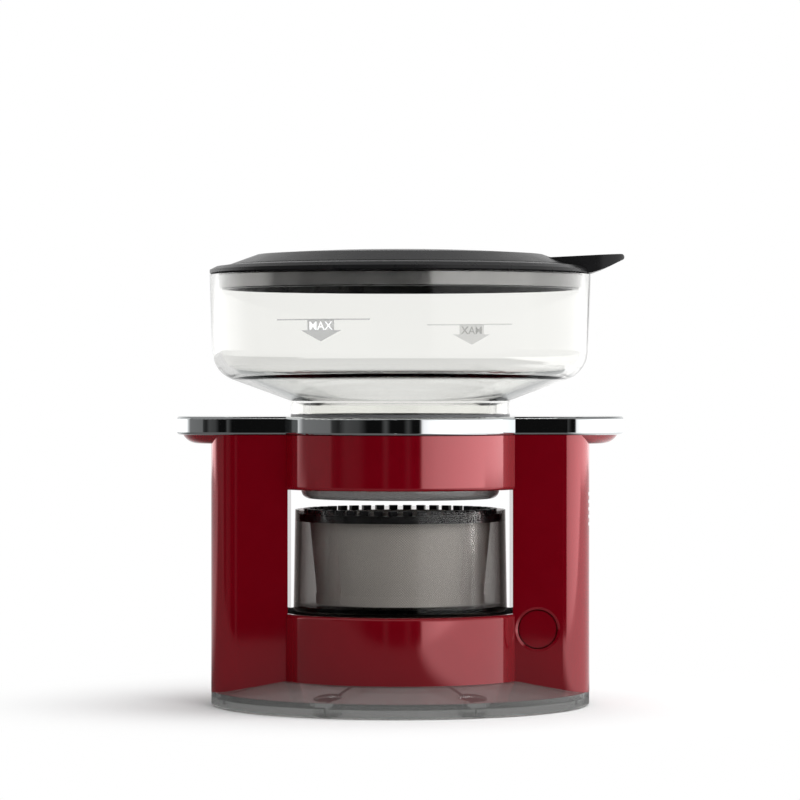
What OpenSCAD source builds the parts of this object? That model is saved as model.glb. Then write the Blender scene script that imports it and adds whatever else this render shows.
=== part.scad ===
// Portable drip coffee maker: a clear water tank stands on a red two-column body,
// a motor turns the spray head under the tank, and the filter cup draws out of the
// window towards the front. Millimetres, +Z up, the front faces -Y.

/* [Filter] */
// Largest outer radius of the smoked filter cup
filter_cup_r = 38.7; // [36:0.1:42]
// How much slimmer the cup is at its top edge
filter_cup_taper = 0.6; // [0:0.1:1.5]
// Wall of the filter cup
filter_cup_wall = 2.2; // [1.4:0.1:3]
// Height of the black rim that hangs the basket on the cup
filter_rim_h = 4.5; // [3.5:0.1:6]
// Gap from the inside of the cup's top edge to the mesh
mesh_setback = 2.7; // [2.2:0.1:5]
// How much slimmer the mesh cone is at its bottom
mesh_taper = 3; // [1:0.1:6]
// Thickness of the woven mesh
mesh_t = 0.6; // [0.4:0.1:1]
// Number of vent notches in the crown of the rim
rim_notches = 42; // [30:2:48]
// Width of one vent notch
notch_w = 2.0; // [1.2:0.1:2.4]
// Depth of one vent notch
notch_h = 1.7; // [1:0.1:2]

/* [Window] */
// Gap between the filter cup and each side of the window
window_side_gap = 1.5; // [1:0.1:3]
// Height of the window
window_h = 44.4; // [40:0.2:52]
// Free height between the filter and the spray head
filter_gap = 3.7; // [2:0.1:6]

/* [Housing] */
// Half the depth of the columns, front to back
column_half_d = 21; // [19.5:0.5:24]
// Corner radius of the columns
column_corner_r = 10; // [8:0.5:11]
// Height of the red band under the window
lower_band_h = 23.9; // [22:0.1:30]
// Height of the red band over the window
upper_band_h = 19.5; // [17:0.1:24]
// Wall of the moulded shells
wall = 2.2; // [1.8:0.1:2.6]
// How far the window edge lies inside the corner of the round band
band_corner_step = 0.7; // [0.3:0.1:1.5]
// Rounding of the band's edges at the window
band_edge_r = 1.2; // [0.6:0.1:1.8]

/* [Base] */
// Gap from the column ends to the outside of the base tray
base_margin = 0.4; // [0.2:0.1:2]
// Height of the upright rim of the base tray
base_rim_h = 4.8; // [4.5:0.1:7]
// Rise of the coned top of the base tray
base_crown = 4.4; // [3:0.1:6]
// Wall of the base tray
base_wall = 2.2; // [1.8:0.1:3]
// Radius of the rubber feet
foot_r = 4; // [3:0.1:5]
// How far the feet stand out of the tray
foot_proud = 0.6; // [0.4:0.1:1.2]
// How deep the feet sit in the tray
foot_seat = 0.8; // [0.5:0.1:1.2]
// Angle of each foot from the front or the back
foot_angle = 25; // [20:1:34]

/* [Ears and trim] */
// How far the ears reach past the columns
ear_overhang = 12.9; // [10:0.1:16]
// Thickness of the red ear under the trim
ear_h = 3.2; // [2.6:0.1:5]
// How far the red ear lies inside the edge of the trim
ear_inset = 2.2; // [1:0.1:4]
// Width of the rounded underside of the ear
ear_round = 5.4; // [4:0.1:8]
// Height of the chrome trim
trim_h = 6.6; // [6:0.1:9]
// Wall of the chrome trim
trim_wall = 1.6; // [1.2:0.1:2]
// How far the trim stands proud of the red shells
trim_proud = 0.2; // [0.1:0.05:0.6]
// Edge rounding of the trim
trim_edge = 1; // [0.3:0.1:1.4]

/* [Spray head] */
// How much slimmer the spray head is than the filter cup
spray_setback = 2.8; // [2.4:0.1:5]
// How far the spray head hangs below the upper band
spray_drop = 3.6; // [2:0.1:6]
// Wall of the spray head
spray_wall = 2; // [1.5:0.1:2.6]
// Rounding of its lower edge
spray_edge = 3; // [2.2:0.1:5]
// Radius of one drip hole
drip_hole_r = 0.8; // [0.5:0.1:1.2]

/* [Drive] */
// Teeth on the spray head
spray_teeth = 65; // [60:1:70]
// Teeth on the drive gear
drive_teeth = 26; // [24:1:28]
// From the side of the spray head to the pitch circle of its teeth
pitch_step = 3.1; // [2.9:0.1:3.6]
// Radius of the gear motor
motor_r = 10; // [8:0.5:11]
// Length of the motor and its gearbox
motor_l = 43; // [36:1:46]
// Radius of the motor's output shaft
shaft_r = 1.5; // [1:0.1:2.5]
// Air between the motor and the column wall
motor_gap = 1.2; // [0.6:0.1:3]

/* [Tank] */
// How far the tank stands out past the columns
tank_overhang = 1.05; // [0:0.05:6]
// How much the tank wall flares from shoulder to rim
tank_flare = 0.95; // [0.3:0.05:2]
// Height of the tank from the trim to its rim
tank_h = 51.1; // [46:0.1:64]
// Wall of the tank
tank_wall = 3; // [2:0.1:3.5]
// Rounding of the tank shoulder
tank_shoulder = 11; // [8:0.5:14]
// Slope of the tank floor in degrees
tank_slope = 20; // [14:1:24]
// Height of the neck over the trim
neck_h = 5.6; // [4.5:0.1:8]
// Radius of the outlet nozzle
nozzle_r = 5; // [4:0.1:8]

/* [Lid] */
// Thickness of the lid rim
lid_rim_h = 2.9; // [2.2:0.1:5]
// Height of the raised middle over the rim
lid_rise = 4.3; // [3:0.1:7]
// Height of the dome over the raised middle
lid_dome = 1.8; // [1:0.1:3]
// Width of the flat rim around the raised middle
lid_ledge = 7.4; // [6.2:0.1:12]
// Width of the slope up to the raised middle
lid_slope = 9.7; // [6:0.1:12]
// Depth of the plug below the rim
plug_h = 5.4; // [4.4:0.1:9]
// Gap between the plug and the tank
plug_gap = 1.5; // [1.2:0.1:2.5]
// Wall of the lid
lid_wall = 2.2; // [1.6:0.1:2.6]
// Reach of the thumb tab past the lid rim
tab_reach = 11.6; // [8:0.1:12]
// Width of the thumb tab
tab_w = 34; // [24:1:48]

/* [Button] */
// Radius of the button
button_r = 6.6; // [5:0.1:7]
// Gap around the button
button_gap = 0.5; // [0.3:0.05:0.8]
// Travel of the button
button_travel = 1.2; // [0.8:0.1:1.5]
// Height of the button over the base tray
button_rise = 18.5; // [17:0.1:20]
// Radius of the shallow dish around the button
dish_r = 8; // [7.6:0.1:8.6]
// Depth of the dish
dish_depth = 0.9; // [0.5:0.05:1.1]

/* [Power and control] */
// Radius of the rechargeable cell
cell_r = 9.2; // [7:0.1:9.2]
// Length of the rechargeable cell
cell_l = 65; // [50:0.5:66]
// Thickness of the circuit boards
board_t = 1.6; // [1:0.1:2]
// Number of cooling slots in the side of the right column
vent_count = 5; // [3:1:7]
// Spacing of the cooling slots
vent_pitch = 2.7; // [2.4:0.1:3.4]
// Height of one cooling slot
vent_h = 1.3; // [0.8:0.1:1.8]
// Half the length of one cooling slot, front to back
vent_half_l = 14; // [8:0.5:15]

/* [Hidden] */
$fn = 96;

// Clearances that fits share
eps = 0.01;
weld = 0.4;
loose_fit = 0.1;
sliding_fit = 0.3;
running_fit = 0.05;
spray_gap = 0.5;
past = 1;

// Heights, from the floor up
base_bottom = foot_proud;
base_rim_top = base_bottom + base_rim_h;
base_top = base_rim_top + base_crown;
sill_z = base_top + lower_band_h;
window_top = sill_z + window_h;
body_top = window_top + upper_band_h;
trim_top = body_top + trim_h;
tank_top = trim_top + tank_h;
lid_rim_top = tank_top + loose_fit + lid_rim_h;
filter_h = window_h - spray_drop - filter_gap;
filter_z = sill_z + loose_fit;
rim_z = filter_z + filter_h - filter_rim_h;

// Radii from the axis outwards
window_half_w = filter_cup_r + window_side_gap;
spray_r = filter_cup_r - spray_setback;
sleeve_in = spray_r + spray_gap;
pitch_r = spray_r + pitch_step;
gear_module = 2 * pitch_r / spray_teeth;
gear_addendum = 0.9 * gear_module;
gear_dedendum = 1.15 * gear_module;
drive_pitch_r = gear_module * drive_teeth / 2;
sleeve_out = pitch_r + gear_addendum;
band_corner_x = window_half_w + band_corner_step;
band_r = sqrt(pow(band_corner_x, 2) + pow(column_half_d, 2));
motor_x = pitch_r + drive_pitch_r;
column_half_w = motor_x + motor_r + motor_gap + wall;
column_in_x = window_half_w + wall;
base_r = column_half_w + base_margin;
tank_r = column_half_w + tank_overhang;

// The spray head's gear runs between the sleeve and the roof of the trim
gear_z = body_top + loose_fit + sliding_fit;
gear_h = trim_h - trim_wall - 2 * (loose_fit + sliding_fit);
spray_web_h = 1.6;
spray_z = window_top - spray_drop;

// Shared shapes

// A tube between two heights
module tube(r_out, r_in, z0, z1) {
    translate([0, 0, z0])
        difference() {
            cylinder(r = r_out, h = z1 - z0);
            translate([0, 0, -past])
                cylinder(r = r_in, h = z1 - z0 + 2 * past);
        }
}

// A round bar along Y, from y0 to y1
module bar_y(r, x, y0, y1, z) {
    translate([x, y0, z])
        rotate([-90, 0, 0])
            cylinder(r = r, h = y1 - y0);
}

// A box from its lowest corner to its highest
module box(low, high) {
    translate(low)
        cube(high - low);
}

// A rectangle with round corners, centred on the origin
module round_rect(half_w, half_d, r) {
    square([2 * (half_w - r), 2 * half_d], center = true);
    square([2 * half_w, 2 * (half_d - r)], center = true);
    for (sx = [-1, 1], sy = [-1, 1])
        translate([sx * (half_w - r), sy * (half_d - r)])
            circle(r = r);
}

// The outline of the columns and the bar between them, drawn in by inset
module column_outline(inset = 0) {
    round_rect(column_half_w - inset, column_half_d - inset, column_corner_r - inset);
}

// Copies of a shape at both ends, front and back
module four_corners(x, y) {
    for (sx = [-1, 1], sy = [-1, 1])
        translate([sx * x, sy * y, 0])
            children();
}

// Gear teeth

pressure_angle = 20;
backlash_deg = 0.12;
flank_steps = 3;

function involute_deg(a) = tan(a) * 180 / PI - a;

// Half the angle that a tooth takes up at radius r
function flank_deg(r, teeth, base_circle) =
    90 / teeth - backlash_deg + involute_deg(pressure_angle)
    - involute_deg(acos(min(1, base_circle / r)));

function polar(r, a) = [r * cos(a), r * sin(a)];

function tooth_points(centre, teeth, root_r, tip_r, base_circle) =
    let (
        start_r = max(root_r, base_circle),
        radii = [for (i = [0 : flank_steps]) start_r + (tip_r - start_r) * i / flank_steps],
        root_half = flank_deg(start_r, teeth, base_circle)
    )
    concat(
        root_r < start_r ? [polar(root_r, centre - root_half)] : [],
        [for (r = radii) polar(r, centre - flank_deg(r, teeth, base_circle))],
        [for (i = [flank_steps : -1 : 0]) polar(radii[i], centre + flank_deg(radii[i], teeth, base_circle))],
        root_r < start_r ? [polar(root_r, centre + root_half)] : []
    );

module gear_outline(teeth, first_tooth_deg) {
    r = gear_module * teeth / 2;
    polygon([
        for (i = [0 : teeth - 1], p = tooth_points(
            first_tooth_deg + 360 * i / teeth, teeth,
            r - gear_dedendum, r + gear_addendum, r * cos(pressure_angle)
        )) p
    ]);
}

// Base tray with its feet and screws

outlet_r = 24;
outlet_rise = 2;
rib_t = 1.6;
rib_rise = 1.2;
rib_step = 2;
rib_bottom = base_bottom + rib_rise;
rib_count = 8;
foot_in = 3;
foot_ring_r = base_r - base_wall - foot_r - foot_in;
screw_r = 1.45;
screw_l = 13;
screw_hole_r = screw_r + running_fit;
screw_head_r = 2.4;
screw_head_h = 1.6;
screw_socket_r = 1;
screw_socket_h = 1;
screw_pad_t = 1;
boss_r = 3.2;
boss_h = 16;
boss_reach = 3.7;
boss_x = column_half_w - column_corner_r + boss_reach;
boss_y = column_half_d - column_corner_r + boss_reach;
boss_ring_r = norm([boss_x, boss_y]);

// Height of the tray's coned top at radius r
function cone_z(r) = base_rim_top + base_crown * (base_r - r) / (base_r - band_r);

screw_seat_z = cone_z(boss_ring_r) - base_wall - screw_pad_t;
boss_lift = boss_r * base_crown / (base_r - band_r) + sliding_fit;

// Section of the tray's outside, from the axis to the rim
module tray_section(inset) {
    polygon([
        [0, base_bottom - past * inset],
        [base_r - inset, base_bottom - past * inset],
        [base_r - inset, base_rim_top - inset],
        [band_r, base_top - inset],
        [0, base_top - inset]
    ]);
}

module tray_rib(a) {
    rotate([0, 0, a])
        translate([0, rib_t / 2, 0])
            rotate([90, 0, 0])
                linear_extrude(rib_t)
                    polygon([
                        [outlet_r + base_wall / 2, base_top - base_wall / 2],
                        [outlet_r + base_wall / 2, rib_bottom + rib_step],
                        [base_r - base_wall / 2, rib_bottom],
                        [base_r - base_wall / 2, base_rim_top - base_wall / 2],
                        [band_r, base_top - base_wall / 2]
                    ]);
}

module at_feet() {
    for (side = [-90, 90], s = [-1, 1])
        rotate([0, 0, side + s * foot_angle])
            translate([foot_ring_r, 0, 0])
                children();
}

module base_tray() {
    color([0.86, 0.86, 0.87, 0.45])
        difference() {
            union() {
                rotate_extrude()
                    difference() {
                        tray_section(0);
                        tray_section(base_wall);
                    }
                tube(outlet_r + base_wall, outlet_r, base_bottom + outlet_rise, base_top - base_wall / 2);
                for (i = [0 : rib_count - 1])
                    tray_rib(360 * (i + 0.5) / rib_count);
                at_feet()
                    translate([0, 0, base_bottom])
                        cylinder(
                            r = foot_r + base_wall / 2,
                            h = cone_z(foot_ring_r) - base_bottom - base_wall / 2
                        );
                four_corners(boss_x, boss_y)
                    translate([0, 0, screw_seat_z])
                        cylinder(r = boss_r, h = screw_pad_t + weld);
            }
            translate([0, 0, -past])
                cylinder(r = outlet_r, h = base_top + 2 * past);
            at_feet()
                translate([0, 0, -past])
                    cylinder(r = foot_r + running_fit, h = base_bottom + foot_seat + past);
            four_corners(boss_x, boss_y) {
                cylinder(r = screw_hole_r, h = base_top + past);
                translate([0, 0, -past])
                    cylinder(r = screw_head_r + loose_fit, h = screw_seat_z + past);
            }
        }
}

module foot_pads() {
    color([0.13, 0.13, 0.13])
        at_feet() {
            cylinder(r1 = foot_r - foot_proud / 2, r2 = foot_r, h = foot_proud / 2);
            translate([0, 0, foot_proud / 2])
                cylinder(r = foot_r, h = foot_proud / 2 + foot_seat);
        }
}

// A screw that points up from its seat, with a hexagon socket in its head
module screw(length) {
    cylinder(r = screw_r, h = length);
    translate([0, 0, -screw_head_h])
        difference() {
            cylinder(r = screw_head_r, h = screw_head_h);
            translate([0, 0, -past])
                cylinder(r = screw_socket_r, h = screw_socket_h + past, $fn = 6);
        }
}

module base_screws() {
    color([0.7, 0.7, 0.72])
        four_corners(boss_x, boss_y)
            translate([0, 0, screw_seat_z])
                screw(screw_l);
}

// Drip deck: the black floor under the filter with its funnel and spout

deck_t = 2.4;
deck_half_w = window_half_w - loose_fit;
deck_r = band_r - wall - loose_fit;
deck_flange_r = column_in_x - sliding_fit;
deck_flange_t = 2;
seat_ring_w = 9;
spout_r = 14;
spout_wall = 1.8;
spout_end = base_bottom + 3;
funnel_drop = 8;
leg_r = deck_half_w - seat_ring_w;

module drip_deck() {
    lip_under = sill_z - wall;
    flange_under = lip_under - deck_flange_t;
    color([0.06, 0.06, 0.065])
        union() {
            rotate_extrude()
                polygon([
                    [leg_r, sill_z],
                    [leg_r + spout_wall, sill_z],
                    [leg_r + spout_wall, lip_under],
                    [deck_flange_r, lip_under],
                    [deck_flange_r, flange_under],
                    [leg_r + spout_wall, flange_under],
                    [leg_r + spout_wall, base_top],
                    [leg_r, base_top],
                    [leg_r, sill_z - deck_t],
                    [spout_r + spout_wall, sill_z - funnel_drop - deck_t],
                    [spout_r + spout_wall, spout_end],
                    [spout_r, spout_end],
                    [spout_r, sill_z - funnel_drop]
                ]);
            intersection() {
                tube(deck_r, leg_r + spout_wall / 2, flange_under + deck_flange_t / 2, sill_z);
                box([-deck_half_w, -2 * band_r, 0], [deck_half_w, 2 * band_r, sill_z + past]);
            }
        }
}

// Red body: two moulded shells that meet on the middle plane

button_in = 5.5;
button_x = motor_x - button_in;
button_z = base_top + button_rise;
front_face = -column_half_d;
front_inside = front_face + wall;
rear_inside = column_half_d - wall;
board_depth = 10.8;
board_front = front_inside + board_depth;
vent_drop = 7.1;
vent_z = window_top - vent_drop;
ear_end_r = column_half_d + trim_proud;
ear_axis_x = column_half_w + ear_overhang - ear_end_r;
ear_r = ear_end_r - ear_inset;
board_boss_r = 2.6;
board_edge_gap = 1.5;
board_rise = 2;
board_h = 32;
board_boss_in = 3.7;
board_screw_l = 6;
board_x0 = column_in_x + board_edge_gap;
board_x1 = column_half_w - wall - board_edge_gap;
board_z0 = base_top + board_rise;
board_z1 = board_z0 + board_h;
board_boss = [
    [board_x0 + board_boss_in, board_z0 + board_boss_in],
    [board_x1 - board_boss_in, board_z1 - board_boss_in]
];

// The round band and both columns in plan, drawn in by inset
module body_outline(inset = 0) {
    column_outline(inset);
    circle(r = band_r - inset);
}

// One ear: a round plate whose lower edge rolls under
module ear() {
    roll_r = (pow(ear_round, 2) + pow(ear_h, 2)) / (2 * ear_h);
    translate([0, 0, body_top - ear_h])
        rotate_extrude()
            intersection() {
                square([ear_r, ear_h]);
                union() {
                    square([ear_r - ear_round, ear_h]);
                    translate([ear_r - ear_round, roll_r])
                        circle(r = roll_r);
                }
            }
}

// What rounds a band's edge at the window: side is front or back, up is 1 over the edge
module band_edge(side, edge_z, up) {
    intersection() {
        rotate_extrude()
            difference() {
                translate([band_r - band_edge_r, up > 0 ? edge_z - band_edge_r : edge_z - past])
                    square([band_edge_r + past, band_edge_r + past]);
                translate([band_r - band_edge_r, edge_z - up * band_edge_r])
                    circle(r = band_edge_r);
            }
        box(
            [-band_corner_x - weld, side > 0 ? column_half_d : -2 * band_r, edge_z - window_h / 4],
            [band_corner_x + weld, side > 0 ? 2 * band_r : -column_half_d, edge_z + window_h / 4]
        );
    }
}

module body_outside() {
    difference() {
        union() {
            translate([0, 0, base_bottom])
                linear_extrude(body_top - base_bottom)
                    body_outline();
            for (s = [-1, 1])
                translate([s * ear_axis_x, 0, 0])
                    ear();
        }
        rotate_extrude()
            polygon([
                [0, -base_r],
                [2 * base_r, -base_r],
                [2 * base_r, cone_z(2 * base_r)],
                [band_r, base_top],
                [0, base_top]
            ]);
        for (s = [-1, 1], edge = [[sill_z, 1], [window_top, -1]])
            band_edge(s, edge[0], edge[1]);
        box([-window_half_w, -2 * band_r, sill_z], [window_half_w, 2 * band_r, window_top]);
        for (y = [-2 * band_r, column_half_d])
            box(
                [-band_corner_x - weld, y, sill_z],
                [band_corner_x + weld, y + 2 * band_r - column_half_d, window_top]
            );
    }
}

module body_inside() {
    translate([0, 0, -past])
        linear_extrude(sill_z - wall + past)
            body_outline(wall);
    translate([0, 0, window_top + wall])
        linear_extrude(upper_band_h - 2 * wall)
            body_outline(wall);
    difference() {
        linear_extrude(window_top + 2 * wall)
            column_outline(wall);
        box([-column_in_x, -2 * column_half_d, -past], [column_in_x, 2 * column_half_d, window_top + 3 * wall]);
    }
    intersection() {
        cylinder(r = deck_r + loose_fit, h = sill_z + past);
        box([-window_half_w, -2 * band_r, -past], [window_half_w, 2 * band_r, sill_z + 2 * past]);
    }
    translate([0, 0, window_top - past])
        cylinder(r = sleeve_in, h = upper_band_h);
    translate([0, 0, body_top - 2 * wall])
        cylinder(r = sleeve_out + loose_fit, h = 3 * wall);
    for (i = [0 : vent_count - 1])
        translate([column_half_w, 0, vent_z + (i - (vent_count - 1) / 2) * vent_pitch])
            cube([4 * wall, 2 * vent_half_l, vent_h], center = true);
    translate([motor_x, 0, body_top - 2 * wall])
        cylinder(r = shaft_r + shaft_gap, h = 3 * wall);
    for (p = bracket_hole)
        translate([p[0], p[1], body_top - 2 * wall])
            cylinder(r = screw_hole_r, h = 3 * wall);
}

module body_bosses() {
    four_corners(boss_x, boss_y)
        difference() {
            translate([0, 0, cone_z(boss_ring_r) + boss_lift])
                cylinder(r = boss_r, h = boss_h - boss_lift);
            cylinder(r = screw_hole_r, h = cone_z(boss_ring_r) + screw_l);
        }
}

// Keeps what lies on one side of the middle plane: -1 is the front, 1 the back
module half(side) {
    reach = column_half_w + ear_overhang + past;
    intersection() {
        children();
        translate([-reach, side < 0 ? -reach : 0, -past])
            cube([2 * reach, reach, body_top + 2 * past]);
    }
}

module shell(side) {
    half(side) {
        union() {
            difference() {
                body_outside();
                body_inside();
            }
            body_bosses();
        }
    }
}

// Keeps a boss from reaching through the shell where the column's corner is round
module within_wall() {
    intersection() {
        children();
        linear_extrude(body_top)
            body_outline(wall / 2);
    }
}

module front_housing() {
    dish_sphere_r = (pow(dish_r, 2) + pow(dish_depth, 2)) / (2 * dish_depth);
    color([0.52, 0.02, 0.07])
        difference() {
            union() {
                shell(-1);
                for (p = board_boss)
                    within_wall()
                        bar_y(board_boss_r, p[0], front_face, board_front, p[1]);
            }
            intersection() {
                translate([button_x, front_face + dish_depth - dish_sphere_r, button_z])
                    sphere(r = dish_sphere_r);
                bar_y(dish_r + running_fit, button_x, front_face - past, front_inside, button_z);
            }
            bar_y(button_r + button_gap, button_x, front_face - past, front_inside + past, button_z);
            for (p = board_boss)
                bar_y(
                    board_screw_r + running_fit, p[0],
                    board_front - board_screw_l - past, board_front + past, p[1]
                );
        }
}

module rear_housing() {
    color([0.5, 0.02, 0.07])
        difference() {
            union() {
                shell(1);
                for (s = [-1, 1])
                    within_wall()
                        bar_y(
                            board_boss_r, socket_x + s * charge_post,
                            charge_board_y + board_t, column_half_d, socket_z
                        );
            }
            translate([0, rear_inside - past, 0])
                socket_slot(socket_half_w + socket_gap, socket_half_h + socket_gap, wall + 2 * past);
        }
}

// Chrome trim plate: a hollow cover over the drive

trim_bore_gap = 0.6;
trim_bore_r = sleeve_in + trim_bore_gap;

module trim_outline(inset = 0) {
    circle(r = band_r + trim_proud - inset);
    square([2 * ear_axis_x, 2 * (ear_end_r - inset)], center = true);
    for (s = [-1, 1])
        translate([s * ear_axis_x, 0])
            circle(r = ear_end_r - inset);
}

// Half the section of the plate, from its middle out to reach, with both edges rounded
module trim_section(reach) {
    translate([0, body_top]) {
        square([reach - trim_edge, trim_h]);
        translate([0, trim_edge])
            square([reach, trim_h - 2 * trim_edge]);
        for (z = [trim_edge, trim_h - trim_edge])
            translate([reach - trim_edge, z])
                circle(r = trim_edge);
    }
}

module top_trim() {
    color([0.85, 0.86, 0.88])
        difference() {
            union() {
                rotate_extrude()
                    trim_section(band_r + trim_proud);
                for (s = [-1, 1])
                    translate([s * ear_axis_x, 0, 0])
                        rotate_extrude()
                            trim_section(ear_end_r);
                translate([-ear_axis_x, 0, 0])
                    rotate([90, 0, 90])
                        linear_extrude(2 * ear_axis_x)
                            for (s = [0, 1])
                                mirror([s, 0])
                                    trim_section(ear_end_r);
            }
            translate([0, 0, body_top - past])
                linear_extrude(trim_h - trim_wall + past)
                    trim_outline(trim_wall);
            translate([0, 0, body_top])
                cylinder(r = trim_bore_r, h = trim_h + past);
        }
}

// Drive: sleeve, spray head, gear, shaft, motor and bracket

bracket_t = 2;
bracket_edge = 0.6;
bracket_screw_out = 3;
bracket_screw_y = motor_r + bracket_screw_out;
bracket_half_w = motor_r + bracket_edge;
bracket_half_d = bracket_screw_y + bracket_screw_out;
bracket_corner_r = 3.4;
bracket_top = body_top - wall;
bracket_hole = [for (s = [-1, 1]) [motor_x, s * bracket_screw_y]];
motor_top = bracket_top - bracket_t;
motor_step = 1;
motor_cap_r = 3.3;
motor_cap_h = 2.5;
gearbox_l = 15;
hub_wall = 2;
hub_r = shaft_r + hub_wall;
shaft_gap = 1;
shaft_grip = 6;
shaft_bottom = motor_top - shaft_grip;
gear_rim_t = 3;
gear_web_edge = 1;
sump_setback = 0.7;
sump_r = spray_r - sump_setback;
sump_gap = 1.1;
spray_ring_in = sump_r + sump_gap;
drip_rings = 3;
drip_ring_pitch = 9;

module bearing_sleeve() {
    color([0.8, 0.8, 0.82])
        tube(sleeve_out, sleeve_in, window_top + wall, body_top + loose_fit);
}

module spray_head() {
    color([0.85, 0.87, 0.9, 0.5])
        difference() {
            union() {
                rotate_extrude()
                    difference() {
                        union() {
                            translate([0, spray_z + spray_edge])
                                square([spray_r, gear_z + spray_web_h - spray_z - spray_edge]);
                            translate([0, spray_z])
                                square([spray_r - spray_edge, spray_edge]);
                            translate([spray_r - spray_edge, spray_z + spray_edge])
                                circle(r = spray_edge);
                        }
                        translate([-past, spray_z + spray_wall])
                            square([spray_r - spray_wall + past, body_top]);
                        translate([-2 * spray_r, spray_z - past])
                            square([2 * spray_r, body_top]);
                    }
                translate([0, 0, gear_z])
                    linear_extrude(gear_h)
                        difference() {
                            gear_outline(spray_teeth, 180 / spray_teeth);
                            circle(r = spray_ring_in);
                        }
                tube(pitch_r - gear_dedendum - eps, spray_r - spray_wall, gear_z, gear_z + spray_web_h);
            }
            for (ring = [1 : drip_rings], i = [0 : 6 * ring - 1])
                rotate([0, 0, 360 * i / (6 * ring)])
                    translate([ring * drip_ring_pitch, 0, spray_z - past])
                        cylinder(r = drip_hole_r, h = spray_wall + 2 * past);
        }
}

module drive_gear() {
    rim_in = drive_pitch_r - gear_rim_t;
    color([0.92, 0.91, 0.86])
        translate([motor_x, 0, gear_z])
            linear_extrude(gear_h)
                difference() {
                    gear_outline(drive_teeth, 0);
                    circle(r = shaft_r + running_fit);
                    for (i = [0 : 4])
                        rotate([0, 0, 36 + 72 * i])
                            translate([(hub_r + rim_in) / 2, 0])
                                circle(r = (rim_in - hub_r) / 2 - gear_web_edge);
                }
}

module drive_shaft() {
    color([0.72, 0.73, 0.75])
        translate([motor_x, 0, shaft_bottom])
            cylinder(r = shaft_r, h = gear_z + gear_h - shaft_bottom);
}

module gear_motor() {
    color([0.66, 0.67, 0.7])
        translate([motor_x, 0, 0])
            difference() {
                union() {
                    translate([0, 0, motor_top - gearbox_l])
                        cylinder(r = motor_r, h = gearbox_l);
                    translate([0, 0, motor_top - motor_l])
                        cylinder(r = motor_r - motor_step, h = motor_l - gearbox_l);
                    translate([0, 0, motor_top - motor_l - motor_cap_h])
                        cylinder(r = motor_cap_r, h = motor_cap_h);
                    translate([0, 0, motor_top])
                        cylinder(r = hub_r, h = bracket_t);
                }
                translate([0, 0, shaft_bottom - sliding_fit])
                    cylinder(r = shaft_r + running_fit, h = motor_l);
            }
}

module motor_bracket() {
    color([0.75, 0.76, 0.78])
        translate([motor_x, 0, bracket_top - bracket_t])
            difference() {
                linear_extrude(bracket_t)
                    round_rect(bracket_half_w, bracket_half_d, bracket_corner_r);
                translate([0, 0, -past])
                    cylinder(r = hub_r + running_fit, h = bracket_t + 2 * past);
                for (s = [-1, 1])
                    translate([0, s * bracket_screw_y, -past])
                        cylinder(r = screw_hole_r, h = bracket_t + 2 * past);
            }
}

module bracket_screws() {
    color([0.7, 0.7, 0.72])
        for (p = bracket_hole)
            translate([p[0], p[1], bracket_top - bracket_t])
                screw(bracket_t + wall);
}

// Power: the cell in the left column and the charging socket at the back

cell_x = -(column_in_x + column_half_w - wall) / 2;
cell_gap = 0.2;
cell_cap_r = 3;
cell_cap_h = 1.5;
holder_wall = 2;
holder_in = cell_r + cell_gap;
holder_out = min((column_half_w - wall - column_in_x) / 2 - sliding_fit, holder_in + holder_wall);
cell_rise = 8;
cell_z = base_top + cell_rise;
holder_end = 2.5;
holder_foot_h = 8;
holder_foot_half_w = 3.5;
holder_foot_in = 6;
socket_x = motor_x;
socket_rise = 22;
socket_z = base_top + socket_rise;
socket_half_w = 4.5;
socket_half_h = 1.6;
socket_wall = 0.5;
socket_gap = 0.4;
socket_l = 7;
charge_post = socket_half_w + board_boss_r + socket_gap;
charge_board_half_h = 5;
charge_board_y = rear_inside - socket_l;

module battery_cell() {
    color([0.2, 0.45, 0.75])
        translate([cell_x, 0, cell_z])
            rotate_extrude()
                union() {
                    square([cell_r, cell_l - cell_cap_h]);
                    square([cell_cap_r, cell_l]);
                }
}

module battery_holder() {
    color([0.1, 0.1, 0.11])
        translate([cell_x, 0, 0]) {
            difference() {
                translate([0, 0, cell_z - holder_end])
                    cylinder(r = holder_out, h = cell_l + 2 * holder_end);
                translate([0, 0, cell_z])
                    cylinder(r = holder_in, h = cell_l);
                translate([-holder_out - past, -holder_out - past, cell_z])
                    cube([2 * holder_out + 2 * past, holder_out + past, cell_l]);
            }
            for (z = [cell_z + holder_foot_in, cell_z + cell_l - holder_foot_in - holder_foot_h])
                difference() {
                    translate([-holder_foot_half_w, 0, z])
                        cube([2 * holder_foot_half_w, rear_inside, holder_foot_h]);
                    translate([0, 0, z - past])
                        cylinder(r = (holder_in + holder_out) / 2, h = holder_foot_h + 2 * past);
                }
        }
}

module socket_slot(half_w, half_h, depth) {
    translate([socket_x, 0, socket_z])
        rotate([-90, 0, 0])
            linear_extrude(depth)
                round_rect(half_w, half_h, half_h - eps);
}

module charge_socket() {
    color([0.7, 0.71, 0.73])
        difference() {
            translate([0, charge_board_y + board_t, 0])
                socket_slot(socket_half_w, socket_half_h, column_half_d - socket_gap - charge_board_y - board_t);
            translate([0, charge_board_y + board_t + 4 * socket_wall, 0])
                socket_slot(socket_half_w - socket_wall, socket_half_h - socket_wall, column_half_d);
        }
}

module charge_board() {
    color([0.05, 0.3, 0.14])
        box(
            [socket_x - charge_post - board_boss_r, charge_board_y, socket_z - charge_board_half_h],
            [socket_x + charge_post + board_boss_r, charge_board_y + board_t, socket_z + charge_board_half_h]
        );
}

// Control: board, switch and button

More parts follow.
